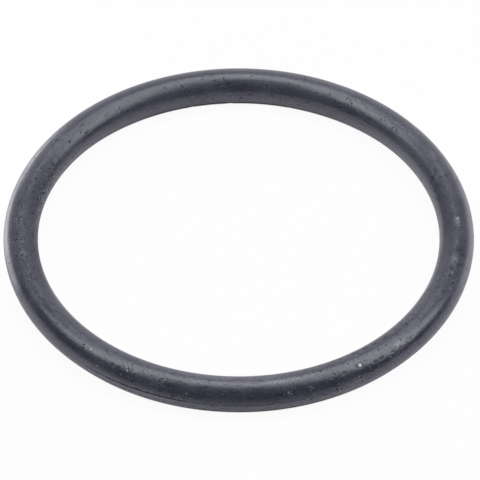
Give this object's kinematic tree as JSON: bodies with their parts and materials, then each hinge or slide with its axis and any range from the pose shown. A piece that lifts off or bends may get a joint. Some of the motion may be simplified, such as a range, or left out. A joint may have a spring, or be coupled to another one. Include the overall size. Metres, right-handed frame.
{
  "type": "o-ring",
  "caption": "Moulded rubber O-ring of round section, lying flat, with a thin line of trimmed mould flash round its inside and its outside.",
  "frame": {"origin": "centre of the ring, in the plane of the mould's parting line", "axes": "+Z along the ring's axis; the ring lies flat, so its lowest point is half the section's diameter below the origin; +X points to the right in the picture and +Y away from the camera, which stands on the -Y side and 45 degrees up"},
  "size_m": [0.048, 0.048, 0.0036],
  "materials": {
    "rubber": "satin"
  },
  "bodies": {
    "root": {"o_ring": "rubber"}
  },
  "joints": []
}
